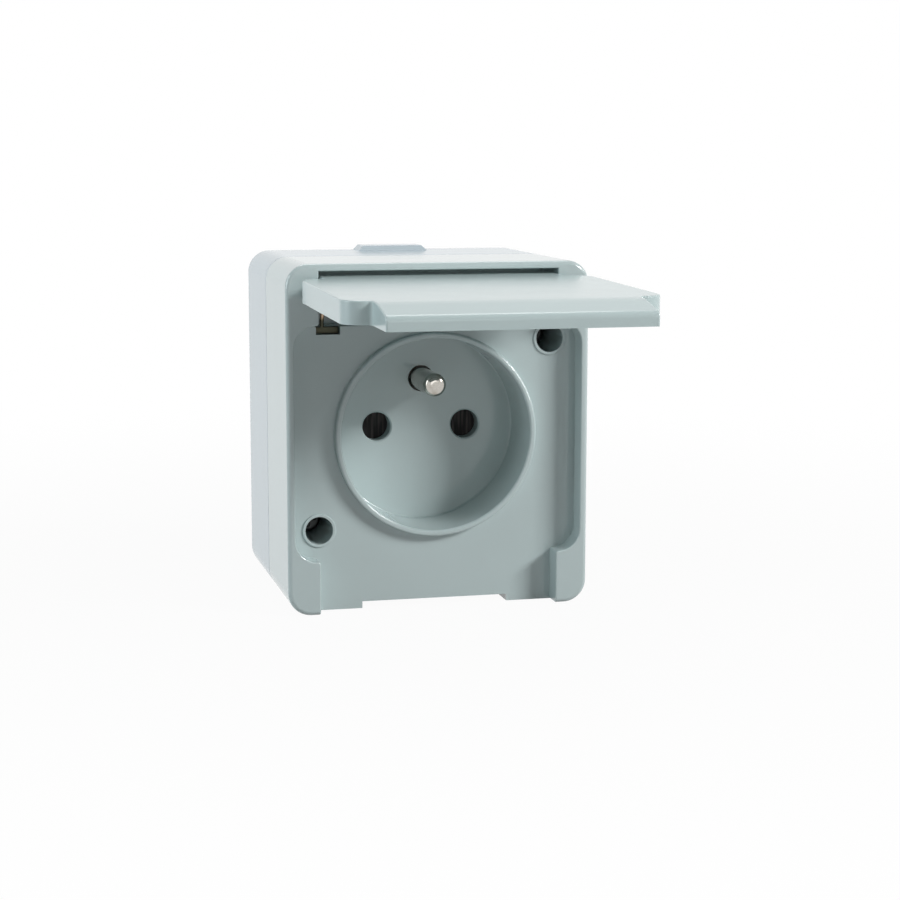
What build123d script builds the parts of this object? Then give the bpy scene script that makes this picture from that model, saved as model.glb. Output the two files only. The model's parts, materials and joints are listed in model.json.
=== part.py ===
from build123d import *
from math import asin, atan2, cos, hypot, sin, tan
import os

# Surface-mounted weatherproof mains socket with an earth pin, drawn with its lid open.
# Millimetres. The origin is the middle of the wall face, +X right, +Z up, and the front looks along -Y.
# Depths are measured backwards from the front plane, heights from the socket's axis.

# Box
box_width = 62.6
box_height = 71.0
box_depth = 52.0
axis_rise = 0.2
corner_radius = 4.7
front_edge_radius = 0.9
back_edge_radius = 0.5
wall = 2.0
back_wall = 2.2
seam_depth = 26.0
seam_chamfer = 0.2

# Recess in the front that the lid closes
rim_width = 1.52
leg_width = 6.6
leg_length = 10.95
recess_depth = 4.65
ledge_round = 0.5
recess_edge_radius = 0.25
floor_wall = 2.0
finger_notch_width = 30.6
finger_notch_height = 1.4
finger_notch_length = 6.3

# Socket well and its openings
well_radius = 19.75
ring_wall = 1.25
ring_drop = 2.65
ring_edge_radius = 0.45
ring_to_recess_top = 2.0
well_depth = 15.0
well_fillet = 0.3
well_plate = 3.5
pin_pitch = 19.0
pin_hole_radius = 3.0
pin_hole_edge = 0.3
earth_offset = 10.0

# Hinge window
lintel = 1.5
sill_drop = 0.6
pocket_depth = 12.0
pocket_wall = 1.5
hinge_depth = 2.8
barrel_headroom = 1.0
hinge_pin_radius = 1.0
hinge_pin_reach = 3.5
hinge_pin_sink = 0.4
hinge_clearance = 0.05
pin_seat_clearance = 0.02

# Hinge spring
spring_wire = 0.9
spring_turns = 3
spring_pitch = 0.95
spring_start = 1.3
spring_bay = 5.0
spring_bay_skin = 0.65
spring_slack = 0.1
hook_notch_height = 1.6
hook_notch_width = 4.9
hook_notch_depth = 3.0
hook_notch_side = 0.2
hook_bend_radius = 0.8
hook_foot_gap = 0.1

# Lid
lid_gap = 0.35
lid_swing_gap = 0.25
lid_floor_gap = 0.35
lid_foot_gap = 0.1
lid_wall = 1.5
lid_upper_wall = 1.0
lid_panel = 1.6
lid_edge_radius = 0.3
lid_bevel = 1.7
lid_bend_radius = 20.0
lid_lip_radius = 1.2
lid_open_angle = 89.1
neck_thickness = 2.2
neck_chamfer = 0.8
lid_gasket_width = 2.0
lid_gasket_thickness = 0.75
gasket_side_gap = 0.1
gasket_rib = 0.9
gasket_rib_height = 1.6

# Cover screws
screw_edge_x = 7.1
screw_edge_z = 16.2
screw_bore_radius = 2.85
screw_rim = 0.6
screw_rim_height = 0.3
screw_rim_edge = 0.15
column_wall = 1.15
screw_seat_wall = 3.0
screw_shank_radius = 1.4
screw_shank_clearance = 0.05
screw_head_radius = 2.6
screw_head_height = 2.0
screw_length = 16.0
screw_seal_thickness = 1.0

# Seam seal
lip_height = 2.0
lip_thickness = 1.2
lip_clearance = 0.1
seal_width = 1.0
seal_height = 0.8
seal_clearance = 0.02

# Wall fixing and cable entry
fixing_spacing = 48.0
fixing_radius = 2.25
fixing_collar = 2.4
fixing_collar_height = 1.5
fixing_washer_thickness = 1.2
entry_flange_width = 15.2
entry_flange_length = 7.0
entry_flange_height = 1.05
entry_flange_chamfer = 1.0
entry_overlap = 1.5
entry_clearance = 0.1
entry_inner_flange = 1.2

# Contact carrier behind the well
carrier_width = 45.0
carrier_height = 27.0
carrier_length = 20.0
carrier_corner = 2.0
cap_thickness = 2.0
boss_offset_x = 16.5
boss_offset_z = -9.5
boss_radius = 2.5
boss_length = 8.0
boss_clearance = 0.1
carrier_screw_radius = 1.1
carrier_screw_clearance = 0.05
carrier_screw_grip = 5.0
carrier_head_radius = 2.3
carrier_head_height = 1.6

# Shutter
shutter_thickness = 2.4
shutter_height = 8.0
shutter_travel = 6.6
shutter_side_gap = 0.3
shutter_face_gap = 0.2
shutter_window_clearance = 0.2
shutter_margin = 1.2
shutter_cover = 4.0
shutter_slot_drop = 5.4
shutter_slot_height = 2.8
shutter_slot_length = 13.0
shutter_slot_side = 2.0
shutter_slot_margin = 1.2
peg_thickness = 1.2
peg_clearance = 0.2
shutter_spring_wire = 0.3
shutter_spring_radius = 0.95
shutter_spring_turns = 6

# Contacts and terminals
plug_pin_radius = 2.4
sleeve_clearance = 0.05
sleeve_wall = 0.85
sleeve_bore_gap = 0.2
sleeve_length = 10.25
sleeve_slit = 0.6
sleeve_slit_length = 8.0
terminal_size = 8.0
terminal_gap = 0.2
terminal_length = 6.0
terminal_rear_gap = 0.3
wire_hole_radius = 1.6
terminal_screw_radius = 1.4
terminal_screw_clearance = 0.05
terminal_head_radius = 2.2
terminal_head_height = 1.8
terminal_head_gap = 0.4
earth_pin_length = 14.0
earth_pin_tip = 1.6
earth_shank_radius = 1.95
earth_hole_radius = 2.75
earth_pin_clearance = 0.1
earth_collar = 1.0
earth_collar_length = 1.5
earth_spigot_radius = 1.6
strap_thickness = 1.0
strap_width = 6.0
strap_gap = 0.4
earth_terminal_drop = 8.5
slot_width = 0.7
slot_depth = 0.8
slot_margin = 0.9

# How far a cut runs past the face that it opens, and the width within which places count as one
over = 1.0
near = 0.02

# Derived places
half_width = box_width / 2
top = box_height / 2 - axis_rise
bottom = -box_height / 2 - axis_rise
recess_half = half_width - rim_width
leg_inner = half_width - leg_width
recess_corner = recess_half - leg_inner - ledge_round
ledge = bottom + leg_length
ring_radius = well_radius + ring_wall
recess_top = ring_radius + ring_to_recess_top
floor_back = recess_depth + floor_wall
well_bottom = ring_drop + well_depth
well_back = well_bottom + well_plate
window_top = top - lintel
sill = recess_top - sill_drop
barrel_radius = hinge_depth
hinge_height = window_top - barrel_headroom - barrel_radius
lid_thickness = recess_depth - lid_floor_gap
lid_foot = bottom + lid_foot_gap
lid_shoulder = recess_top - lid_gap - lid_swing_gap
neck_half = leg_inner - lid_gap
screw_x = half_width - screw_edge_x
screw_z = top - screw_edge_z
column_radius = screw_bore_radius + column_wall
column_length = seam_depth - lip_height
screw_seat = column_length - screw_seat_wall
pilot_end = screw_seat + screw_length + over
cavity_back = well_back + shutter_thickness + 2 * shutter_face_gap
carrier_back = well_back + carrier_length
boss_end = well_back + boss_length
cap_back = carrier_back + cap_thickness
terminal_back = carrier_back - terminal_rear_gap
terminal_front = terminal_back - terminal_length
sleeve_radius = plug_pin_radius + sleeve_clearance + sleeve_wall
strap_front = terminal_front
fixing_heights = (-axis_rise - fixing_spacing / 2, -axis_rise + fixing_spacing / 2)
spring_radius = hinge_pin_radius + spring_slack + spring_wire / 2


def slab(face, front, rear):
    """Prism of a face drawn as seen from the front, between two depths."""
    return Pos(0, rear - box_depth, 0) * extrude(Plane.XZ * face, rear - front)


def disc(x, z, radius, front, rear):
    """Round bar along the depth."""
    return slab(Pos(x, z) * Circle(radius), front, rear)


def block(x_low, x_high, z_low, z_high, front, rear):
    """Plain box between two depths."""
    face = Pos((x_low + x_high) / 2, (z_low + z_high) / 2) * Rectangle(x_high - x_low, z_high - z_low)
    return slab(face, front, rear)


def cross_bar(radius, x_low, x_high, depth, height):
    """Round bar along X."""
    face = Plane.YZ.offset(x_low) * Pos(depth - box_depth, height) * Circle(radius)
    return extrude(face, x_high - x_low)


def upright(radius, x, depth, z_low, z_high):
    """Round bar along Z."""
    return extrude(Plane.XY.offset(z_low) * Pos(x, depth - box_depth) * Circle(radius), z_high - z_low)


def box_face(inset):
    """The box's rounded outline, drawn in by an inset."""
    outline = RectangleRounded(box_width - 2 * inset, box_height - 2 * inset, corner_radius - inset)
    return Pos(0, -axis_rise) * outline


def recess_face(inset, crown, foot, head):
    """Outline of the recess and hinge window, or of what fits in them: a rounded field,
    a stem below between the legs and a neck above. The crown is a further inset of the field's top."""
    stem = leg_inner - inset
    field = recess_half - inset
    low = ledge + inset
    high = recess_top - inset - crown
    outer = recess_corner - inset
    inner = ledge_round + inset
    right = [
        Line((stem, foot), (stem, low - inner)),
        CenterArc((stem + inner, low - inner), inner, 180, -90),
        CenterArc((field - outer, low + outer), outer, -90, 90),
        Line((field, low + outer), (field, high - outer)),
        CenterArc((field - outer, high - outer), outer, 0, 90),
        CenterArc((stem + inner, high + inner), inner, -90, -90),
        Line((stem, high + inner), (stem, head)),
    ]
    left = [mirror(edge, about=Plane.YZ) for edge in right]
    ends = [Line((-stem, foot), (stem, foot)), Line((-stem, head), (stem, head))]
    return make_face(right + left + ends)


def both(shape):
    """A shape and its copy turned half round the socket's axis."""
    return [shape, Rot(0, 180, 0) * shape]


def front_edges_on(body, face):
    """A body's edges in the front plane that follow a face's outline."""
    outline = (Pos(0, -box_depth, 0) * (Plane.XZ * face)).wire()
    return [edge for edge in body.edges() if outline.distance_to(Vertex(*(edge @ 0.5))) < near]


def make_well():
    """Deep round recess for the plug, with a rounded ring in front and a small fillet round its floor."""
    hollow = disc(0, 0, well_radius, ring_drop - over, well_bottom)
    hollow = fillet(hollow.edges().group_by(Axis.Y)[-1], well_fillet)
    well = disc(0, 0, ring_radius, ring_drop, well_back) - hollow
    return fillet(well.edges().group_by(Axis.Y)[0], ring_edge_radius)


def make_screw_column():
    """Tube for a cover screw, with a low rim standing out of the recess floor."""
    rim_front = recess_depth - screw_rim_height
    rim = disc(screw_x, screw_z, screw_bore_radius + screw_rim, rim_front, floor_back)
    rim = fillet(rim.edges().group_by(Axis.Y)[0], screw_rim_edge)
    return rim + disc(screw_x, screw_z, column_radius, recess_depth + floor_wall / 2, column_length)


def make_front_cover():
    body = slab(box_face(0), 0, seam_depth)
    body = fillet(body.edges().group_by(Axis.Y)[0], front_edge_radius)
    body = chamfer(body.edges().group_by(Axis.Y)[-1], seam_chamfer)
    outline = recess_face(0, 0, bottom - over, window_top)
    body -= slab(outline, -over, recess_depth)
    body = fillet(front_edges_on(body, outline), recess_edge_radius)
    body -= slab(box_face(wall), floor_back, seam_depth + over)
    for side in (-1, 1):
        core_x = sorted((side * (leg_inner + wall), side * (half_width - wall)))
        body -= block(*core_x, bottom + wall, ledge - wall, wall, floor_back + over)
    housing_half = leg_inner + pocket_wall
    housing_foot = sill - hook_notch_height - pocket_wall
    body += block(-housing_half, housing_half, housing_foot, window_top + lintel / 2,
                  recess_depth, pocket_depth + pocket_wall)
    pad_half = finger_notch_width / 2 + wall
    pad_top = bottom + finger_notch_height + wall
    notch_end = recess_depth + finger_notch_length
    body += block(-pad_half, pad_half, bottom + wall / 2, pad_top,
                  floor_back - floor_wall / 2, notch_end + wall)
    body -= block(-leg_inner, leg_inner, sill, window_top, recess_depth - over, pocket_depth)
    half_notch = finger_notch_width / 2
    body -= block(-half_notch, half_notch, bottom - over, bottom + finger_notch_height,
                  recess_depth - over, notch_end)
    hook_left = -leg_inner + hook_notch_side
    body -= block(hook_left, hook_left + hook_notch_width, sill - hook_notch_height, sill + over,
                  recess_depth - over, recess_depth + hook_notch_depth)
    body -= disc(0, 0, well_radius + ring_wall / 2, 0, well_bottom)
    body += make_well()
    for column in both(make_screw_column()):
        body += column
    for bore in both(disc(screw_x, screw_z, screw_bore_radius, 0, screw_seat)):
        body -= bore
    hole = screw_shank_radius + 2 * screw_shank_clearance
    for bore in both(disc(screw_x, screw_z, hole, screw_seat - over, column_length + over)):
        body -= bore
    for side in (-1, 1):
        body += disc(side * boss_offset_x, boss_offset_z, boss_radius, well_back - well_plate / 2, boss_end)
        body -= disc(side * boss_offset_x, boss_offset_z, carrier_screw_radius + carrier_screw_clearance,
                     well_back, boss_end + over)
        body -= make_pin_hole(side * pin_pitch / 2)
    pin_bore = hinge_pin_radius + pin_seat_clearance
    body -= cross_bar(pin_bore, -leg_inner - hinge_pin_reach, half_width + over, hinge_depth, hinge_height)
    body -= disc(0, earth_offset, earth_hole_radius, well_bottom - over, well_back + over)
    return body


def make_pin_hole(x):
    """Hole for one pin in the well's bottom, with a softened mouth."""
    hole = disc(x, 0, pin_hole_radius, well_bottom - over, well_back + over)
    mouth = Plane((x, well_bottom - box_depth, 0), z_dir=(0, 1, 0))
    wide = mouth * Circle(pin_hole_radius + pin_hole_edge)
    narrow = mouth.offset(pin_hole_edge) * Circle(pin_hole_radius)
    return hole + loft([wide, narrow])


def make_base_box():
    body = slab(box_face(0), seam_depth, box_depth)
    body = fillet(body.edges().group_by(Axis.Y)[-1], back_edge_radius)
    body = chamfer(body.edges().group_by(Axis.Y)[0], seam_chamfer)
    lip_inset = wall + lip_clearance
    lip_root = seam_depth + lip_thickness
    body += slab(box_face(lip_inset), seam_depth - lip_height, lip_root)
    lip_inside = box_face(lip_inset + lip_thickness)
    body -= slab(lip_inside, seam_depth - lip_height - over, lip_root + lip_thickness)
    body -= slab(box_face(wall), lip_root + lip_thickness, box_depth - back_wall)
    body -= slab(box_face(wall - seal_width), seam_depth - over, seam_depth + seal_height) \
        - slab(box_face(lip_inset), seam_depth - lip_height - over, box_depth)
    for column in both(disc(screw_x, screw_z, column_radius, column_length, box_depth - back_wall / 2)):
        body += column
    pilot = screw_shank_radius + screw_shank_clearance
    for bore in both(disc(screw_x, screw_z, pilot, column_length - over, pilot_end)):
        body -= bore
    collar_front = box_depth - back_wall - fixing_collar_height
    for height in fixing_heights:
        body += disc(0, height, fixing_radius + fixing_collar, collar_front, box_depth - back_wall / 2)
        body -= disc(0, height, fixing_radius, collar_front - over, box_depth + over)
    notch_half = entry_flange_width / 2 - entry_overlap
    notch_front = box_depth - entry_flange_length + entry_overlap
    body -= block(-notch_half, notch_half, top - wall, top + over, notch_front, box_depth + over)
    return body


def make_cable_entry_insert():
    """Slide-in closing piece in the rear edge of the top wall, where the cable comes in."""
    front = box_depth - entry_flange_length
    half = entry_flange_width / 2
    flange = block(-half, half, top, top + entry_flange_height, front, box_depth)
    upper = flange.faces().sort_by(Axis.Z)[-1]
    ends = [edge for edge in upper.edges() if edge.center().Y < -near]
    flange = chamfer(ends, entry_flange_chamfer)
    web_half = half - entry_overlap - entry_clearance
    web = block(-web_half, web_half, top - wall, top, front + entry_overlap + entry_clearance, box_depth)
    inner_rear = box_depth - back_wall - entry_clearance
    inner = block(-half, half, top - wall - entry_inner_flange, top - wall, front, inner_rear)
    return flange + web + inner


def make_cover_gasket():
    outer = box_face(wall - seal_width + seal_clearance)
    inner = box_face(wall + lip_clearance - seal_clearance)
    rear = seam_depth + seal_height
    return slab(outer, seam_depth, rear) - slab(inner, seam_depth - over, rear + over)


def make_screw(x, z, seat, shank_end, shank_radius, head_radius, head_height, towards_front):
    """Round-headed screw along the depth, with crossed driving slots in its head."""
    head_ends = (seat - head_height, seat) if towards_front else (seat, seat + head_height)
    head = disc(x, z, head_radius, *head_ends)
    outer = head.edges().group_by(Axis.Y)[0 if towards_front else -1]
    head = fillet(outer, head_height / 3)
    front_cut = (head_ends[0] - over, head_ends[0] + slot_depth)
    rear_cut = (head_ends[1] - slot_depth, head_ends[1] + over)
    cut = front_cut if towards_front else rear_cut
    arm = head_radius - slot_margin
    for half_x, half_z in ((arm, slot_width / 2), (slot_width / 2, arm)):
        head -= block(x - half_x, x + half_x, z - half_z, z + half_z, *cut)
    shank = disc(x, z, shank_radius, *sorted((seat, shank_end)))
    return head + shank


def make_cover_screws():
    seat = screw_seat - screw_seal_thickness
    screw = make_screw(screw_x, screw_z, seat, seat + screw_length, screw_shank_radius,
                       screw_head_radius, screw_head_height, True)
    return both(screw)


def make_screw_seals():
    ring = disc(screw_x, screw_z, screw_head_radius, screw_seat - screw_seal_thickness, screw_seat) \
        - disc(screw_x, screw_z, screw_shank_radius + screw_shank_clearance, 0, box_depth)
    return both(ring)


def make_fixing_washers():
    rear = box_depth - back_wall - fixing_collar_height
    front = rear - fixing_washer_thickness
    ring = disc(0, 0, fixing_radius + fixing_collar, front, rear) - disc(0, 0, fixing_radius, 0, box_depth)
    return [Pos(0, 0, height) * ring for height in fixing_heights]


def shutter_window_x(side):
    """Place of a shutter window at rest, one travel to the left of its pin hole."""
    return side * pin_pitch / 2 - shutter_travel


def shutter_left():
    return shutter_window_x(-1) - pin_hole_radius - shutter_window_clearance - shutter_margin


def shutter_right():
    return pin_pitch / 2 + shutter_cover


def shutter_slot():
    """Ends of the spring slot at rest, below the line of the pin holes."""
    left = -pin_pitch / 2 - shutter_slot_side
    return left, left + shutter_slot_length


def shutter_foot():
    """Height of the lower edge of the lug that holds the spring slot."""
    return -shutter_slot_drop - shutter_slot_height / 2 - shutter_slot_margin


def peg_x():
    """Left face of the carrier's spring peg, near the slot's right end at rest."""
    return shutter_slot()[1] - peg_thickness - 2 * peg_clearance


def make_shutter():
    """Sliding plate that covers both pin holes until two pins push it aside together."""
    front = well_back + shutter_face_gap
    rear = front + shutter_thickness
    plate = block(shutter_left(), shutter_right(), -shutter_height / 2, shutter_height / 2, front, rear)
    low, high = shutter_slot()
    plate += block(low - shutter_slot_margin, high + shutter_slot_margin, shutter_foot(), 0, front, rear)
    window = pin_hole_radius + shutter_window_clearance
    for side in (-1, 1):
        plate -= disc(shutter_window_x(side), 0, window, front - over, rear + over)
    half = shutter_slot_height / 2
    slot_heights = (-shutter_slot_drop - half, -shutter_slot_drop + half)
    return plate - block(low, high, *slot_heights, front - over, rear + over)


def make_coil(radius, wire, turns, length):
    """Round wire wound along +Z from the origin."""
    path = Helix(pitch=length / turns, height=length, radius=radius)
    section = Plane(path @ 0, z_dir=path % 0) * Circle(wire / 2)
    return sweep(section, path=path, is_frenet=True)


def make_shutter_spring():
    wire = shutter_spring_wire
    start = shutter_slot()[0] + wire
    length = peg_x() - wire - start
    coil = make_coil(shutter_spring_radius, wire, shutter_spring_turns, length)
    middle = well_back + shutter_face_gap + shutter_thickness / 2
    return Pos(start, middle - box_depth, -shutter_slot_drop) * Rot(0, 90, 0) * coil


def make_contact_carrier():
    """Moulded block that holds the contacts and guides the shutter."""
    body = slab(RectangleRounded(carrier_width, carrier_height, carrier_corner), well_back, carrier_back)
    guide_half = shutter_height / 2 + shutter_side_gap
    body -= block(shutter_left() - shutter_side_gap, shutter_right() + shutter_travel + shutter_side_gap,
                  -guide_half, guide_half, well_back - over, cavity_back)
    slot_low, slot_high = shutter_slot()
    lug_gap = shutter_slot_margin + shutter_side_gap
    body -= block(slot_low - lug_gap, slot_high + lug_gap + shutter_travel,
                  shutter_foot() - shutter_side_gap, 0, well_back - over, cavity_back)
    peg_half = shutter_slot_height / 2 - peg_clearance
    peg_heights = (-shutter_slot_drop - peg_half, -shutter_slot_drop + peg_half)
    body += block(peg_x(), peg_x() + peg_thickness, *peg_heights,
                  well_back + shutter_face_gap, cavity_back + over)
    pocket = terminal_size / 2 + terminal_gap
    for side in (-1, 1):
        x = side * pin_pitch / 2
        body -= disc(x, 0, sleeve_radius + sleeve_bore_gap, cavity_back - over, terminal_front + over)
        body -= block(x - pocket, x + pocket, -pocket, pocket, terminal_front, carrier_back + over)
        body -= block(x - wire_hole_radius, x + wire_hole_radius, 0, carrier_height,
                      terminal_front + terminal_length / 2 - wire_hole_radius, carrier_back + over)
        boss_x = side * boss_offset_x
        boss_seat = boss_radius + boss_clearance
        body -= disc(boss_x, boss_offset_z, boss_seat, well_back - over, boss_end + boss_clearance)
        screw_way = carrier_screw_radius + 2 * boss_clearance
        body -= disc(boss_x, boss_offset_z, screw_way, well_back, carrier_back + over)
    body -= disc(0, earth_offset, earth_shank_radius + earth_pin_clearance, well_back - over, carrier_back)
    collar = earth_shank_radius + earth_collar + earth_pin_clearance
    body -= disc(0, earth_offset, collar, strap_front - earth_collar_length, carrier_back + over)
    channel = strap_width / 2 + strap_gap
    body -= block(-channel, channel, -carrier_height, earth_offset + collar, strap_front, carrier_back + over)
    return body


def make_carrier_cap():
    """Plate that closes the carrier's rear and leaves the terminal screws free."""
    body = slab(RectangleRounded(carrier_width, carrier_height, carrier_corner), carrier_back, cap_back)
    for x, z in ((-pin_pitch / 2, 0), (pin_pitch / 2, 0), (0, -earth_terminal_drop)):
        body -= disc(x, z, terminal_head_radius + terminal_head_gap, carrier_back - over, cap_back + over)
    for side in (-1, 1):
        body -= disc(side * boss_offset_x, boss_offset_z, carrier_screw_radius + 2 * boss_clearance,
                     carrier_back - over, cap_back + over)
    return body


def make_carrier_screws():
    shank_end = boss_end - carrier_screw_grip
    return [make_screw(side * boss_offset_x, boss_offset_z, cap_back, shank_end, carrier_screw_radius,
                       carrier_head_radius, carrier_head_height, False) for side in (-1, 1)]


def cut_terminal(body, x, z):
    """Cuts the wire hole and the clamping screw's hole in a terminal block."""
    half = terminal_size
    body -= upright(wire_hole_radius, x, terminal_front + terminal_length / 2, z - half, z + half)
    return body - disc(x, z, terminal_screw_radius + terminal_screw_clearance,
                       terminal_front + terminal_length / 2, terminal_back + over)


def make_contact(side):
    """Slit sleeve that grips a plug pin, in one piece with its terminal block."""
    x = side * pin_pitch / 2
    half = terminal_size / 2
    front = terminal_front - sleeve_length
    body = disc(x, 0, sleeve_radius, front, terminal_front)
    body += block(x - half, x + half, -half, half, terminal_front, terminal_back)
    body -= disc(x, 0, plug_pin_radius + sleeve_clearance, front - over, terminal_front)
    slit = sleeve_slit / 2
    for half_x, half_z in ((half, slit), (slit, half)):
        body -= block(x - half_x, x + half_x, -half_z, half_z, front - over, front + sleeve_slit_length)
    return cut_terminal(body, x, 0)


def make_earth_pin():
    """Turned pin with a domed tip, a thinner shank behind the well, a collar and a riveted end."""
    tip = well_bottom - earth_pin_length
    shaft = disc(0, earth_offset, plug_pin_radius, tip, well_bottom)
    shaft = fillet(shaft.edges().group_by(Axis.Y)[0], earth_pin_tip)
    shaft += disc(0, earth_offset, earth_shank_radius, well_bottom, strap_front)
    collar_radius = earth_shank_radius + earth_collar
    collar = disc(0, earth_offset, collar_radius, strap_front - earth_collar_length, strap_front)
    spigot = disc(0, earth_offset, earth_spigot_radius, strap_front, strap_front + strap_thickness)
    return shaft + collar + spigot


def make_earth_strap():
    """Brass strap from the earth pin's end down to the earth terminal."""
    half = strap_width / 2
    low = -earth_terminal_drop - terminal_size / 2
    strap = block(-half, half, low, earth_offset + half, strap_front, strap_front + strap_thickness)
    strap += block(-half, half, low, low + terminal_size, strap_front, terminal_back)
    spigot_hole = earth_spigot_radius + pin_seat_clearance
    strap -= disc(0, earth_offset, spigot_hole, strap_front - over, terminal_back)
    return cut_terminal(strap, 0, -earth_terminal_drop)


def make_terminal_screws():
    places = ((-pin_pitch / 2, 0), (pin_pitch / 2, 0), (0, -earth_terminal_drop))
    shank_end = terminal_front + terminal_length / 2
    return [make_screw(x, z, terminal_back, shank_end, terminal_screw_radius,
                       terminal_head_radius, terminal_head_height, False) for x, z in places]


def bevel_wedge(depth):
    """What the slope on the lid's tongue takes away, or its copy further back by a depth."""
    start = ledge - ledge_round
    end = lid_foot - over
    front = depth - box_depth
    outside = front - 2 * lid_thickness
    reach = start - lid_foot
    rest = lid_bend_radius - lid_bevel
    slope = asin(lid_bend_radius / hypot(reach, rest)) - atan2(rest, reach)
    bend_end = (front + lid_bend_radius * (1 - cos(slope)), start - lid_bend_radius * sin(slope))
    bend = TangentArc((front, start), bend_end, tangent=(0, -1))
    foot = (front + lid_bevel + over * tan(slope), end)
    straight = Polyline(bend_end, foot, (outside, end), (outside, start), (front, start))
    return extrude(Plane.YZ.offset(-half_width) * make_face(bend + straight), box_width)


def make_closed_lid():
    """Lid in its closed place: a shallow tray with a tongue below and a hinge barrel above."""
    outline = recess_face(lid_gap, lid_swing_gap, lid_foot, hinge_height)
    body = slab(outline, 0, lid_thickness) - bevel_wedge(0)
    lip = [edge for edge in body.edges().filter_by(Axis.X)
           if abs(edge.center().Z - lid_foot) < near and edge.center().Y < lid_bevel + near - box_depth]
    body = fillet(lip, lid_lip_radius)
    rim = [edge for edge in front_edges_on(body, outline) if edge.center().Z < hinge_height - near]
    body = fillet(rim, lid_edge_radius)
    body -= block(-half_width, half_width, lid_shoulder, top, neck_thickness, lid_thickness + over)
    inset = lid_gap + lid_wall
    upper_inset = lid_swing_gap + lid_upper_wall - lid_wall
    hollow = slab(recess_face(inset, upper_inset, lid_foot + lid_wall, top), lid_panel, lid_thickness + over)
    hollow -= bevel_wedge(lid_panel)
    upper_foot = lid_shoulder - lid_upper_wall
    hollow -= block(-half_width, half_width, upper_foot, top + over, 0, lid_thickness + 2 * over)
    body -= hollow
    rib_outer = ring_radius - lid_gasket_width
    body += disc(0, 0, rib_outer, lid_panel / 2, lid_panel + gasket_rib_height) \
        - disc(0, 0, rib_outer - gasket_rib, 0, lid_thickness)
    body += cross_bar(barrel_radius, -neck_half, neck_half, hinge_depth, hinge_height)
    corner = hinge_height + barrel_radius
    cut = Polyline((-neck_half, corner - neck_chamfer), (-neck_half + neck_chamfer, corner),
                   (-neck_half + neck_chamfer, corner + over), (-neck_half - over, corner + over),
                   (-neck_half - over, corner - neck_chamfer), close=True)
    body -= slab(make_face(cut), -over, pocket_depth)
    bay_low = hinge_height - barrel_radius - spring_bay_skin
    bay_right = -neck_half + spring_bay
    body -= block(-neck_half - over, bay_right, bay_low, corner + over, spring_bay_skin, pocket_depth)
    pin_bore = hinge_pin_radius + hinge_clearance
    return body - cross_bar(pin_bore, -half_width, half_width, hinge_depth, hinge_height)


def make_closed_lid_gasket():
    outer = ring_radius + gasket_side_gap
    return disc(0, 0, outer, lid_panel, lid_panel + lid_gasket_thickness) \
        - disc(0, 0, outer - lid_gasket_width, 0, lid_thickness)


def opened(shape):
    """Turns a piece of the closed lid to its open place about the hinge."""
    hinge = Axis((0, hinge_depth - box_depth, hinge_height), (1, 0, 0))
    return shape.rotate(hinge, -lid_open_angle)


def make_hinge_pin():
    left = -leg_inner - hinge_pin_reach + pin_seat_clearance
    return cross_bar(hinge_pin_radius, left, half_width - hinge_pin_sink, hinge_depth, hinge_height)


def make_hinge_spring():
    """Coil on the hinge pin with a leg that runs down to a flat foot in the sill's notch."""
    length = spring_turns * spring_pitch
    left = -neck_half + spring_start
    coil = Rot(0, 90, 0) * make_coil(spring_radius, spring_wire, spring_turns, length)
    coil = Pos(left, hinge_depth - box_depth, hinge_height) * Rot(90, 0, 0) * coil
    leg = hinge_depth + spring_radius - box_depth
    foot_front = recess_depth + hook_notch_depth - 2 * spring_wire
    foot_left = -leg_inner + hook_notch_side + hook_foot_gap
    foot_low = sill - hook_notch_height + hook_foot_gap
    foot = block(foot_left, foot_left + hook_notch_width - 2 * hook_foot_gap, foot_low, sill - hook_foot_gap,
                 foot_front, foot_front + spring_wire)
    hook = foot_front + spring_wire / 2 - box_depth
    leg_top = hinge_height + spring_wire / 4
    path = FilletPolyline((left, leg, leg_top), (left, leg, hinge_height - barrel_radius),
                          (left, hook, sill + spring_wire), (left, hook, sill - hook_notch_height / 2),
                          radius=hook_bend_radius)
    section = Plane(path @ 0, z_dir=path % 0) * Circle(spring_wire / 2)
    return coil + sweep(section, path=path) + foot


nodes = {
    "front_cover": make_front_cover(),
    "base_box": make_base_box(),
    "cover_gasket": make_cover_gasket(),
    "cover_screws": make_cover_screws(),
    "screw_seals": make_screw_seals(),
    "fixing_washers": make_fixing_washers(),
    "cable_entry_insert": make_cable_entry_insert(),
    "contact_carrier": make_contact_carrier(),
    "carrier_cap": make_carrier_cap(),
    "carrier_screws": make_carrier_screws(),
    "live_contact": make_contact(1),
    "neutral_contact": make_contact(-1),
    "earth_pin": make_earth_pin(),
    "earth_strap": make_earth_strap(),
    "terminal_screws": make_terminal_screws(),
    "shutter": make_shutter(),
    "shutter_spring": make_shutter_spring(),
    "lid": opened(make_closed_lid()),
    "lid_gasket": opened(make_closed_lid_gasket()),
    "hinge_pin": make_hinge_pin(),
    "hinge_spring": make_hinge_spring(),
}

os.makedirs("parts", exist_ok=True)
for name, shape in nodes.items():
    solids = shape if isinstance(shape, list) else [shape]
    solids = [Pos(0, 0, axis_rise) * solid for solid in solids]
    shape = solids[0] if len(solids) == 1 else Compound(children=solids)
    export_step(shape, f"parts/{name}.step")
    print(name, round(shape.volume, 1))
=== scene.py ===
# %% [markdown]
# # A weatherproof wall socket with its lid open
#
# The socket is a small surface box for an outside wall. A grey front cover is screwed to a grey base box,
# a deep round well takes the plug, and a spring lid hangs from a hinge above the well.
# Every solid already has its true shape and place, so this lesson is about looks:
# finishes made from shader nodes, two springs that are drawn as meshes, and a studio to see it all in.

# %% Load the frame
import bmesh
import bpy
import json
import math
from mathutils import Matrix, Vector


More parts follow.
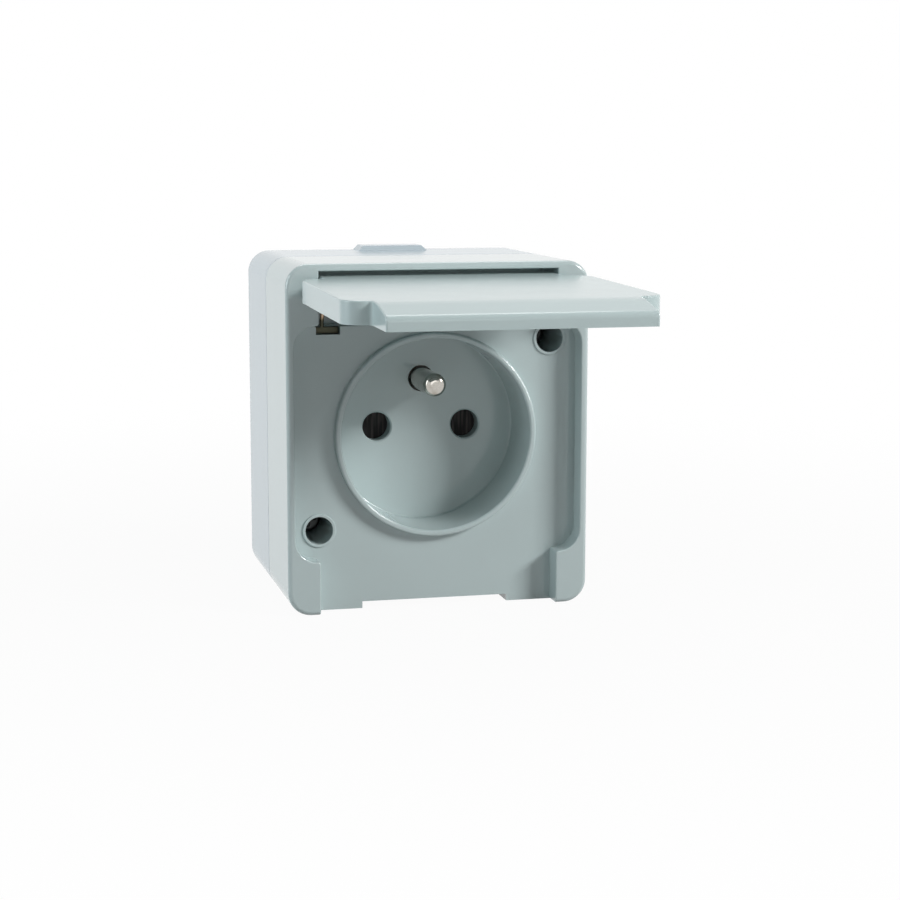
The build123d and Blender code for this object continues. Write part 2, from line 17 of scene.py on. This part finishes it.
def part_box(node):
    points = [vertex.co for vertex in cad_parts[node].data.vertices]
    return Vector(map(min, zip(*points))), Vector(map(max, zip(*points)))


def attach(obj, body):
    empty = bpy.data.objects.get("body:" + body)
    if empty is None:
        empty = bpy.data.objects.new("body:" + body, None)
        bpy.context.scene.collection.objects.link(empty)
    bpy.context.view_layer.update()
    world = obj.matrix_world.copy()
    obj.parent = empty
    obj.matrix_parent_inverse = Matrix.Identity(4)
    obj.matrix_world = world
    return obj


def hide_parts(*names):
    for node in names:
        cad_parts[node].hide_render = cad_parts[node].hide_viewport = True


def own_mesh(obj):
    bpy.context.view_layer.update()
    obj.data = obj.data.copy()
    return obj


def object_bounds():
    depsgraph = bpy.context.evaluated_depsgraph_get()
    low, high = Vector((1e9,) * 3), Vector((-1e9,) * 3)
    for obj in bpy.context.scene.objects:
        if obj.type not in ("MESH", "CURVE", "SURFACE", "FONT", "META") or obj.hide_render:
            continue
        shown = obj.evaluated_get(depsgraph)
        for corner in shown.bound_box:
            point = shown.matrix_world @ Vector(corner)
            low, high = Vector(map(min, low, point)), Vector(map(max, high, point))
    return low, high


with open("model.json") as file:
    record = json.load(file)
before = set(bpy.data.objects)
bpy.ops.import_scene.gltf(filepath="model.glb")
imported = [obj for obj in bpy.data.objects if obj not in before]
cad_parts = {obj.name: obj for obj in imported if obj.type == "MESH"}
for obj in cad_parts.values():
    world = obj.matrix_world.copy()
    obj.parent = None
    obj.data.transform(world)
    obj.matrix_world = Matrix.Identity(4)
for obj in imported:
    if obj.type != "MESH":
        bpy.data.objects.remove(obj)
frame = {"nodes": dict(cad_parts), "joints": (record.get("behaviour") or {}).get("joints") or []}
cad_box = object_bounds()
low, high = cad_box
nodes = frame["nodes"]
MM = 0.001
print("nodes:", len(nodes), "size in mm:", [round(side / MM, 1) for side in high - low])

# %% [markdown]
# ## A shorthand for shader nodes
#
# A finish is a small graph of nodes. Adding them by hand takes four lines a node and hides the idea,
# so one class wraps a node's output socket. Sums on such a socket add Math nodes by themselves,
# also with a plain number in front, as in `1 - mask`. Every other node comes from the method `node`,
# which sets the node's own options first and then fills or links its inputs.

# %% The socket class
class Wire:
    """An output socket of a material, with arithmetic that adds Math nodes."""

    def __init__(self, tree, socket):
        self.tree = tree
        self.socket = socket

    def node(self, kind, settings=None, inputs=None, output=0):
        """Adds a node, sets its options, fills its inputs and returns one output."""
        made = self.tree.nodes.new(kind)
        for name, value in (settings or {}).items():
            setattr(made, name, value)
        feed(made, inputs or {})
        return Wire(self.tree, made.outputs[output])

    def math(self, operation, *values):
        """Adds a Math node. Its inputs have numbers for names."""
        return self.node("ShaderNodeMath", {"operation": operation}, dict(enumerate(values)))

    def __add__(self, other):
        return self.math("ADD", self, other)

    def __radd__(self, other):
        return self.math("ADD", other, self)

    def __sub__(self, other):
        return self.math("SUBTRACT", self, other)

    def __rsub__(self, other):
        return self.math("SUBTRACT", other, self)

    def __mul__(self, other):
        return self.math("MULTIPLY", self, other)

    def __rmul__(self, other):
        return self.math("MULTIPLY", other, self)

    def mix(self, dark, light):
        """A colour between two, where this value is 0 and where it is 1."""
        settings = {"data_type": "RGBA", "clamp_factor": True}
        return self.node("ShaderNodeMix", settings, {"Factor": self, 6: dark, 7: light}, 2)

    def between(self, start, end):
        """0 below a start, 1 above an end and smooth in between."""
        settings = {"interpolation_type": "SMOOTHSTEP"}
        inputs = {"Value": self, "From Min": start, "From Max": end}
        return self.node("ShaderNodeMapRange", settings, inputs)


def feed(node, inputs):
    """Links a node's inputs to wires, or sets them to plain values."""
    for name, value in inputs.items():
        if isinstance(value, Wire):
            value.tree.links.new(value.socket, node.inputs[name])
        else:
            node.inputs[name].default_value = value


print("Wire is ready")

# %% [markdown]
# ## What every finish needs
#
# `new_finish` makes a material with a Principled shader and hands back the object's own coordinates.
# They are in metres, and a grain of a fifth of a millimetre is awkward to write that way,
# so the coordinates are turned into millimetres at once. `grain` is a noise of a given grain size.
# `dress` puts a finish on solids: it fills their material slots and leaves the meshes alone.

# %% Material helpers
def new_finish(name):
    """An empty material: its shader and its coordinates in millimetres."""
    material = bpy.data.materials.new(name)
    material.use_nodes = True
    tree = material.node_tree
    shader = tree.nodes["Principled BSDF"]
    place = Wire(tree, tree.nodes.new("ShaderNodeTexCoord").outputs["Object"])
    scaled = {"Vector": place, "Scale": (1 / MM, 1 / MM, 1 / MM)}
    return material, shader, place.node("ShaderNodeMapping", None, scaled)


def grain(place, size, detail=2.0, stretch=(1, 1, 1)):
    """Noise from 0 to 1 with grains of a size in millimetres."""
    turned = place.node("ShaderNodeMapping", None, {"Vector": place, "Scale": stretch})
    return place.node("ShaderNodeTexNoise", None, {"Vector": turned, "Scale": 1 / size, "Detail": detail})


def bump(height, depth):
    """A normal for a height from 0 to 1 that stands for a depth in millimetres."""
    inputs = {"Height": height, "Distance": depth * MM, "Strength": 1.0}
    return height.node("ShaderNodeBump", None, inputs)


def shade(colour, factor=1.0):
    """A colour made lighter or darker, with a full alpha added."""
    return tuple(channel * factor for channel in colour) + (1.0,)


def dress(finish, *names):
    """Puts a finish on nodes."""
    for name in names:
        slots = nodes[name].data.materials
        for index in range(len(slots)):
            slots[index] = finish
    print(finish.name, "on", ", ".join(names))


print("coordinates are scaled by", round(1 / MM), "to millimetres")

# %% [markdown]
# ## Moulded plastic
#
# The shell is injection moulded in a light grey with a hint of green, the base a shade bluer than the cover.
# A polished tool leaves the surface smooth, but never perfect: the colour clouds a little over centimetres,
# and a fine orange peel breaks up the reflections. One function makes each grey, with its own gloss.
# The grain sizes are in millimetres.

# %% Plastic finishes
CLOUD_SIZE = 9.0
SPECK_SIZE = 0.35
PEEL_SIZE = 0.55
FINE_PEEL_SIZE = 0.16
TONE_SPREAD = 0.025


def moulded_plastic(name, colour, gloss, peel, ior):
    """A grey moulding. Gloss is its roughness, peel the depth of its orange peel in millimetres."""
    material, shader, place = new_finish(name)
    clouds = grain(place, CLOUD_SIZE, 3.0)
    specks = grain(place, SPECK_SIZE, 1.0)
    tone = clouds * 0.7 + specks * 0.3
    peel_height = grain(place, PEEL_SIZE, 2.0) * 0.7 + grain(place, FINE_PEEL_SIZE, 1.0) * 0.3
    feed(shader, {
        "Base Color": tone.mix(shade(colour, 1 - TONE_SPREAD), shade(colour, 1 + TONE_SPREAD)),
        "Roughness": gloss + (clouds - 0.5) * 0.04 + (specks - 0.5) * 0.03,
        "Normal": bump(peel_height, peel),
        "IOR": ior,
    })
    return material


COVER_GREY = (0.490, 0.581, 0.581)
BASE_GREY = (0.482, 0.562, 0.604)
LID_GREY = (0.500, 0.604, 0.604)
cover_finish = moulded_plastic("cover_plastic", COVER_GREY, gloss=0.09, peel=0.0005, ior=1.57)
base_finish = moulded_plastic("base_plastic", BASE_GREY, gloss=0.15, peel=0.0007, ior=1.45)
lid_finish = moulded_plastic("lid_plastic", LID_GREY, gloss=0.18, peel=0.0008, ior=1.5)
dress(cover_finish, "front_cover")
dress(base_finish, "base_box", "cable_entry_insert")
dress(lid_finish, "lid")

# %% [markdown]
# ## Plastics inside
#
# Behind the well sit a pale heat-proof carrier and a black shutter that closes the pin holes.
# Both are matte. The shutter rubs in its guide, so upright streaks show on it, from a noise that is
# squeezed along one axis. Its low IOR leaves hardly any gloss, and the holes stay dark.

# %% Inner plastics
STREAK_SIZE = 0.7
STREAK_STRETCH = (1, 1, 0.08)
STREAK_DEPTH = 0.01


def streaked_plastic(name, dark, worn, gloss, ior):
    """Matte plastic with upright streaks between two tones."""
    material, shader, place = new_finish(name)
    streaks = grain(place, STREAK_SIZE, 2.0, STREAK_STRETCH).between(0.45, 0.75)
    feed(shader, {
        "Base Color": streaks.mix(shade(dark), shade(worn)),
        "Roughness": gloss - streaks * 0.1,
        "Normal": bump(streaks, STREAK_DEPTH),
        "IOR": ior,
    })
    return material


CARRIER_CREAM = (0.62, 0.60, 0.55)
SHUTTER_BLACK = (0.030, 0.029, 0.029)
SHUTTER_WORN = (0.11, 0.096, 0.092)
carrier_finish = moulded_plastic("carrier_plastic", CARRIER_CREAM, gloss=0.55, peel=0.012, ior=1.5)
shutter_finish = streaked_plastic("shutter_plastic", SHUTTER_BLACK, SHUTTER_WORN, gloss=0.7, ior=1.2)
dress(carrier_finish, "contact_carrier", "carrier_cap")
dress(shutter_finish, "shutter")

# %% [markdown]
# ## Seals
#
# Rubber is dark, dull and slightly dusty. The dust is a second, paler tone where a noise is high.

# %% Rubber finish
DUST_SIZE = 1.6
PORE_SIZE = 0.12
PORE_DEPTH = 0.012


def seal_rubber(name, colour):
    """Soft dark rubber with a bloom of pale dust."""
    material, shader, place = new_finish(name)
    dust = grain(place, DUST_SIZE, 4.0).between(0.52, 0.78)
    feed(shader, {
        "Base Color": dust.mix(shade(colour), shade(colour, 1.5)),
        "Roughness": 0.62 + dust * 0.2,
        "Normal": bump(grain(place, PORE_SIZE, 2.0), PORE_DEPTH),
        "IOR": 1.45,
    })
    return material


RUBBER_BLACK = (0.045, 0.047, 0.050)
rubber_finish = seal_rubber("seal_rubber", RUBBER_BLACK)
dress(rubber_finish, "cover_gasket", "screw_seals", "lid_gasket", "fixing_washers")

# %% [markdown]
# ## Metals
#
# The earth pin is turned from brass and nickel plated, so fine rings from the lathe run round it.
# The contacts are plain brass, and the screws are zinc plated or blackened steel.
# One function serves them all. Stretching a noise along one axis gives a direction to its scratches.

# %% Metal function
SCRATCH_SIZE = 0.5
SCRATCH_DEPTH = 0.002
PATCH_SIZE = 2.4


def plain_metal(name, colour, tarnish, gloss, stretch):
    """Metal with scratches along the short side of a stretched noise, and a second tone in patches."""
    material, shader, place = new_finish(name)
    scratches = grain(place, SCRATCH_SIZE, 2.0, stretch)
    patches = grain(place, PATCH_SIZE, 3.0).between(0.45, 0.75)
    feed(shader, {
        "Base Color": patches.mix(shade(colour), shade(tarnish)),
        "Metallic": 1.0,
        "Roughness": gloss + (scratches - 0.5) * 0.12 + patches * 0.05,
        "Normal": bump(scratches, SCRATCH_DEPTH),
    })
    return material


print("scratches are", SCRATCH_SIZE, "mm apart before they are stretched")

# %% Metal finishes
NICKEL = (0.50, 0.48, 0.44)
NICKEL_WARM = (0.38, 0.35, 0.30)
BRASS = (0.72, 0.53, 0.26)
BRASS_DARK = (0.55, 0.38, 0.17)
ZINC = (0.62, 0.63, 0.64)
ZINC_BLUE = (0.52, 0.55, 0.59)
BLACK_STEEL = (0.10, 0.105, 0.105)
BLACK_STEEL_WORN = (0.16, 0.165, 0.165)
nickel_finish = plain_metal("nickel_plate", NICKEL, NICKEL_WARM, gloss=0.15, stretch=(1, 12, 1))
brass_finish = plain_metal("contact_brass", BRASS, BRASS_DARK, gloss=0.32, stretch=(1, 6, 1))
zinc_finish = plain_metal("zinc_steel", ZINC, ZINC_BLUE, gloss=0.34, stretch=(1, 1, 8))
black_finish = plain_metal("blackened_steel", BLACK_STEEL, BLACK_STEEL_WORN, gloss=0.5, stretch=(1, 1, 8))
dress(nickel_finish, "earth_pin")
dress(brass_finish, "live_contact", "neutral_contact", "earth_strap")
dress(zinc_finish, "carrier_screws", "terminal_screws", "hinge_pin")
dress(black_finish, "cover_screws")

# %% [markdown]
# ## Spring wire
#
# Springs are wound from steel wire. The lid's spring stands with a flat foot in a notch. The foot and the
# wire low in the notch get a dark olive tone that is painted shade, and the leg above the notch, where light
# comes in, gets a painted tan glint.
# So the tone follows the height over the foot, with a little noise in it that keeps the border from being a
# straight line.

# %% Wire finish
# The tan is a painted glint on the lit leg, and the dark olive is a painted shade on the foot in the notch.
WIRE_PAINTED_GLINT = (0.50, 0.36, 0.25)
WIRE_PAINTED_SHADE = (0.072, 0.072, 0.050)
FOOT_HEIGHT = 1.4 * MM
PAINTED_SHADE_END = 1.2
PAINTED_GLINT_START = 2.4
BLOTCH_SIZE = 0.6
WIRE_GRAIN = 0.25


def wire_with_painted_light(name, foot):
    """Spring steel with painted shade up to a height in millimetres and a painted glint above it."""
    material, shader, place = new_finish(name)
    height = place.node("ShaderNodeSeparateXYZ", None, {"Vector": place}, "Z")
    blotches = grain(place, BLOTCH_SIZE, 3.0)
    # 0 where the painted shade lies and 1 where the painted glint lies, by height over the foot.
    painted_glint = (height + (blotches - 0.5) * 1.2).between(foot + PAINTED_SHADE_END, foot + PAINTED_GLINT_START)
    feed(shader, {
        "Base Color": painted_glint.mix(shade(WIRE_PAINTED_SHADE), shade(WIRE_PAINTED_GLINT)),
        "Metallic": 1.0,
        "Roughness": 0.5 - painted_glint * 0.1 + (blotches - 0.5) * 0.15,
        "Normal": bump(grain(place, WIRE_GRAIN, 2.0), 0.004),
    })
    return material


spring_near, spring_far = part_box("hinge_spring")
foot_top = (spring_near.z + FOOT_HEIGHT) / MM
wire_finish = wire_with_painted_light("spring_wire", foot_top)
dress(wire_finish, "hinge_spring", "shutter_spring")
# Prints the height where the painted shade ends.
print("the spring's painted_shade ends", round(foot_top + PAINTED_SHADE_END, 2), "mm up")

# %% [markdown]
# ## Drawing wire
#
# The two springs are thin round wire. A curve with a round bevel would draw them too, but a mesh can be
# shaped in the same words as on the bench: take the wire's end, pull it straight, turn it round a peg.
# `pull` extrudes the end face along a line. `turn` spins it about the X axis, and where a coil is wanted
# it also moves on along that axis at each step. The first face stays behind as a cap and the end face
# is the other cap. Its rim goes along with it, so no wall is left inside, and the wire is closed.

# %% Wire helpers
WIRE_SIDES = 12
COIL_STEPS = 30


def wire_end(shape, place, wire):
    """A round face that looks up, as the first end of a wire."""
    made = bmesh.ops.create_circle(shape, cap_ends=True, radius=wire / 2, segments=WIRE_SIDES,
                                   matrix=Matrix.Translation(place))
    return made["verts"][0].link_faces[0]


def with_rim(face):
    """A face with its edges and corners."""
    return [face, *face.edges, *face.verts]


def only(kind, items):
    """The items of one kind, such as all vertices."""
    return [item for item in items if isinstance(item, kind)]


def pull(shape, face, way):
    """Draws a wire's end out along a straight way."""
    made = bmesh.ops.extrude_face_region(shape, geom=with_rim(face))["geom"]
    bmesh.ops.translate(shape, verts=only(bmesh.types.BMVert, made), vec=way)
    return only(bmesh.types.BMFace, made)[0]


def turn(shape, face, peg, angle, steps, advance=0.0):
    """Turns a wire's end about a peg along X, with a step along the peg each time."""
    made = bmesh.ops.spin(shape, geom=with_rim(face), cent=peg, axis=(1, 0, 0), dvec=(advance, 0, 0),
                          angle=angle, steps=steps, use_merge=False)["geom_last"]
    return only(bmesh.types.BMFace, made)[0]


print("wire has", WIRE_SIDES, "sides, a coil", COIL_STEPS, "steps a turn")

# %% [markdown]
# ## From a drawn shape to a piece
#
# A finished shape becomes an object whose place is all in its mesh. Faces are shaded smooth, and only edges
# with a sharp angle stay crisp. The joints' own records say where the hinge is and how far the shutter goes.

# %% Piece helpers
SHARP_ANGLE = math.radians(40)


def add_piece(name, shape, finish):
    """Turns a bmesh into an object with smooth faces and one finish."""
    bmesh.ops.recalc_face_normals(shape, faces=shape.faces)
    mesh = bpy.data.meshes.new(name)
    shape.to_mesh(mesh)
    shape.free()
    mesh.shade_smooth()
    mesh.set_sharp_from_angle(angle=SHARP_ANGLE)
    mesh.materials.append(finish)
    piece = bpy.data.objects.new(name, mesh)
    bpy.context.scene.collection.objects.link(piece)
    return piece


def joint_named(name):
    """The record of one joint."""
    return next(joint for joint in frame["joints"] if joint["name"] == name)


# %% [markdown]
# ## The shutter's return spring
#
# The shutter's return spring is a coil of thin wire, held at one end by a peg.

# %% Shutter spring
RETURN_WIRE = 0.3 * MM
RETURN_TURNS = 6


def wind_return_coil(near, far):
    """A coil along X that fills the box between two corners."""
    centre = (near + far) / 2
    winding = (far.y - near.y - RETURN_WIRE) / 2
    steps = RETURN_TURNS * COIL_STEPS
    advance = (far.x - near.x - RETURN_WIRE) / steps
    shape = bmesh.new()
    face = wire_end(shape, (near.x + RETURN_WIRE / 2, centre.y + winding, centre.z), RETURN_WIRE)
    turn(shape, face, centre, math.tau * RETURN_TURNS, steps, advance)
    return shape


coil_near, coil_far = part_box("shutter_spring")
coil_keep = 1 - joint_named("shutter_slide")["range_m"][1] / (coil_far.x - coil_near.x)
shutter_coil = add_piece("shutter_coil", wind_return_coil(coil_near, coil_far), wire_finish)
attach(shutter_coil, "housing")
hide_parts("shutter_spring")
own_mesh(shutter_coil)
print("shutter coil:", len(shutter_coil.data.polygons), "faces, squashed to", round(coil_keep, 3))

# %% [markdown]
# ## The lid's spring
#
# One wire makes this spring: from a flat foot in the notch it goes up, leans forward to the hinge pin in two
# small bends and winds round the pin three times. The foot is a bevelled block over the wire's first end.
# The hinge's place is read from the joint, and the outer sizes from the solid that the mesh stands for.

# %% Lid spring's wire
LID_WIRE = 0.9 * MM
LID_TURNS = 3
LID_PITCH = 0.95 * MM
LEG_X = -23.05 * MM
LEG_BEND = 0.8 * MM
BEND_STEPS = 5
LOW_BEND_RISE = 2.4 * MM
HIGH_BEND_DROP = 2.8 * MM


def draw_lid_wire(shape, near, far, hinge):
    """The wire from the foot up to the hinge and round its pin."""
    leg_y = hinge.y + far.z - hinge.z - LID_WIRE / 2
    foot_y = far.y - LID_WIRE / 2
    low_z = near.z + LOW_BEND_RISE
    high_z = hinge.z - HIGH_BEND_DROP
    lean = math.atan2(foot_y - leg_y, high_z - low_z)
    cut = LEG_BEND * math.tan(lean / 2)
    slant = math.hypot(foot_y - leg_y, high_z - low_z) - 2 * cut
    start_z = near.z + FOOT_HEIGHT / 2
    end = wire_end(shape, (LEG_X, foot_y, start_z), LID_WIRE)
    end = pull(shape, end, (0, 0, low_z - cut - start_z))
    end = turn(shape, end, (LEG_X, foot_y - LEG_BEND, low_z - cut), lean, BEND_STEPS)
    end = pull(shape, end, (0, -slant * math.sin(lean), slant * math.cos(lean)))
    end = turn(shape, end, (LEG_X, leg_y + LEG_BEND, high_z + cut), -lean, BEND_STEPS)
    end = pull(shape, end, (0, 0, hinge.z - high_z - cut))
    turn(shape, end, hinge, math.tau * LID_TURNS, LID_TURNS * COIL_STEPS, LID_PITCH / COIL_STEPS)


hinge_place = Vector(joint_named("lid_hinge")["pos_m"])
spring_shape = bmesh.new()
draw_lid_wire(spring_shape, spring_near, spring_far, hinge_place)
print("lid spring's wire:", len(spring_shape.faces), "faces")

# %% Lid spring
FOOT_EDGE = 0.12 * MM
FOOT_EDGE_STEPS = 3


def add_foot(shape, near, far):
    """A block with softened edges at the foot of the solid's box."""
    size = Vector((far.x - near.x, LID_WIRE, FOOT_HEIGHT))
    centre = Vector(((near.x + far.x) / 2, far.y - LID_WIRE / 2, near.z + FOOT_HEIGHT / 2))
    placed = Matrix.Translation(centre) @ Matrix.Diagonal(size.to_4d())
    made = bmesh.ops.create_cube(shape, size=1.0, matrix=placed)["verts"]
    edges = list({edge for vert in made for edge in vert.link_edges})
    bmesh.ops.bevel(shape, geom=edges, offset=FOOT_EDGE, segments=FOOT_EDGE_STEPS, profile=0.5,
                    affect="EDGES", material=-1)


add_foot(spring_shape, spring_near, spring_far)
lid_spring = add_piece("lid_spring", spring_shape, wire_finish)
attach(lid_spring, "housing")
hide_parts("hinge_spring")
print("lid spring:", len(lid_spring.data.polygons), "faces")

# %% [markdown]
# ## Floor and backdrop
#
# A product shot stands on white. The floor is a large pale plane under the box. Camera rays and reflections
# see mostly a white glow there, with a share of plain diffuse floor in it that keeps a faint shadow.
# Diffuse light meets the plain floor alone, so the white costs no extra light on the object.

# %% Floor finish
FLOOR_COLOUR = (0.40, 0.40, 0.40, 1.0)
WHITE = (1, 1, 1, 1)
FLOOR_GLOW = 0.95
SHADOW_REACH = 0.30


def seen_rays(tree):
    """1 for rays that the camera, a gloss or a clear piece sends out, 0 for diffuse light."""
    paths = tree.nodes.new("ShaderNodeLightPath").outputs
    camera_ray = Wire(tree, paths["Is Camera Ray"])
    glossy_ray = Wire(tree, paths["Is Glossy Ray"])
    clear_ray = Wire(tree, paths["Is Transmission Ray"])
    return camera_ray.math("MAXIMUM", camera_ray, glossy_ray.math("MAXIMUM", glossy_ray, clear_ray))


def pale_floor():
    """A matt floor that glows white for the rays that are seen, and fully so away from the box."""
    material = bpy.data.materials.new("pale_floor")
    material.use_nodes = True
    tree = material.node_tree
    seen = seen_rays(tree)
    matt = seen.node("ShaderNodeBsdfDiffuse", None, {"Color": FLOOR_COLOUR})
    glow = seen.node("ShaderNodeEmission", None, {"Color": WHITE, "Strength": 1.0})
    place = seen.node("ShaderNodeTexCoord", None, None, "Object")
    distance = seen.node("ShaderNodeVectorMath", {"operation": "LENGTH"}, {0: place}, "Value")
    white = FLOOR_GLOW + distance.between(0.0, SHADOW_REACH) * (1.0 - FLOOR_GLOW)
    share = seen.node("ShaderNodeMixShader", None, {"Fac": seen * white, 1: matt, 2: glow})
    feed(tree.nodes["Material Output"], {"Surface": share})
    tree.nodes.remove(tree.nodes["Principled BSDF"])
    return material


print("shadow fades out within", SHADOW_REACH, "m")

# %% Floor
FLOOR_SIZE = 6.0
FLOOR_CELLS = 8


def make_floor():
    """A flat grid at the height of the box's underside."""
    shape = bmesh.new()
    bmesh.ops.create_grid(shape, x_segments=FLOOR_CELLS, y_segments=FLOOR_CELLS, size=FLOOR_SIZE / 2)
    bmesh.ops.translate(shape, verts=shape.verts, vec=(0, 0, low.z))
    mesh = bpy.data.meshes.new("floor")
    shape.to_mesh(mesh)
    shape.free()
    mesh.materials.append(pale_floor())
    plane = bpy.data.objects.new("floor", mesh)
    bpy.context.scene.collection.objects.link(plane)
    return plane


floor = make_floor()
print(floor.name, "at", round(low.z / MM, 2), "mm")

# %% [markdown]
# ## A white room
#
# The world is white too, for the camera and for reflections. To diffuse light it gives only a little,
# which lifts the deepest shade. The rest of the light comes from lamps.

# %% World
AMBIENT = 0.03
world = bpy.data.worlds.new("white_studio")
bpy.context.scene.world = world
world.use_nodes = True
world_tree = world.node_tree
world_strength = seen_rays(world_tree) * (1.0 - AMBIENT) + AMBIENT
feed(world_tree.nodes["Background"], {"Color": WHITE, "Strength": world_strength})
print("ambient light", AMBIENT)

# %% [markdown]
# ## Lights
#
# Four soft boxes light the socket. One hangs above it and behind, and brightens the tops. One stands to the
# left, a little behind the front plane, so the side is bright and the recess stays in shade.
# A smaller one to the right in front shapes the well, and a weak one in front opens its shadows.

# %% Soft boxes
LAMP_DISTANCE = 1.0
COOL = (0.89, 0.965, 1.0)
front_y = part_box("front_cover")[0].y
front_middle = Vector((0, front_y, 0))


def seen_from(azimuth, elevation, distance):
    """A place at a distance from the front's middle. Azimuth 0 is straight in front, 90 to the right."""
    swing = math.radians(azimuth)
    rise = math.radians(elevation)
    level = distance * math.cos(rise)
    way = Vector((level * math.sin(swing), -level * math.cos(swing), distance * math.sin(rise)))
    return front_middle + way


def soft_box(name, azimuth, elevation, width, height, power, colour=(1, 1, 1)):
    """A rectangular area light that looks at the front's middle."""
    lamp = bpy.data.lights.new(name, "AREA")
    lamp.shape = "RECTANGLE"
    lamp.size = width
    lamp.size_y = height
    lamp.energy = power
    lamp.color = colour
    holder = bpy.data.objects.new(name, lamp)
    holder.location = seen_from(azimuth, elevation, LAMP_DISTANCE)
    holder.rotation_euler = (front_middle - holder.location).to_track_quat("-Z", "Y").to_euler()
    bpy.context.scene.collection.objects.link(holder)
    print(name, power, "W")


soft_box("top_box", azimuth=175, elevation=60, width=0.6, height=0.6, power=3.2)
soft_box("left_box", azimuth=-92, elevation=12, width=0.6, height=0.9, power=8.4, colour=COOL)
soft_box("right_box", azimuth=53, elevation=27.5, width=0.36, height=0.22, power=8.4)
soft_box("front_box", azimuth=2, elevation=6, width=0.5, height=0.5, power=0.8)

# %% [markdown]
# ## Camera
#
# The camera stands left of the socket, a little above it, and looks down by less than ten degrees.
# Its place follows from two angles and a distance to a point in the front plane.

# %% Camera
YAW = math.radians(13.696)
PITCH = math.radians(8.648)
ROLL = math.radians(0.072)
DISTANCE = 414.52 * MM
LENS = 81.68
SENSOR_WIDTH = 36.0
CLIP_NEAR = 0.01
CLIP_FAR = 50.0
LOOK_AT = Vector((2.049 * MM, front_y, -2.555 * MM))


def make_camera():
    """A camera whose axes are worked out from its three angles."""
    back = Vector((-math.sin(YAW) * math.cos(PITCH), -math.cos(YAW) * math.cos(PITCH), math.sin(PITCH)))
    right = Vector((math.cos(YAW), -math.sin(YAW), 0))
    up = back.cross(right)
    turned_right = right * math.cos(ROLL) + up * math.sin(ROLL)
    turned_up = up * math.cos(ROLL) - right * math.sin(ROLL)
    data = bpy.data.cameras.new("camera")
    data.lens = LENS
    data.sensor_width = SENSOR_WIDTH
    data.clip_start = CLIP_NEAR
    data.clip_end = CLIP_FAR
    holder = bpy.data.objects.new("camera", data)
    axes = Matrix((turned_right, turned_up, back)).transposed().to_4x4()
    holder.matrix_world = Matrix.Translation(LOOK_AT + back * DISTANCE) @ axes
    bpy.context.scene.collection.objects.link(holder)
    return holder


camera = make_camera()
bpy.context.scene.camera = camera
bpy.context.scene.view_settings.view_transform = "Standard"
print("camera at", [round(value / MM, 1) for value in camera.matrix_world.translation])
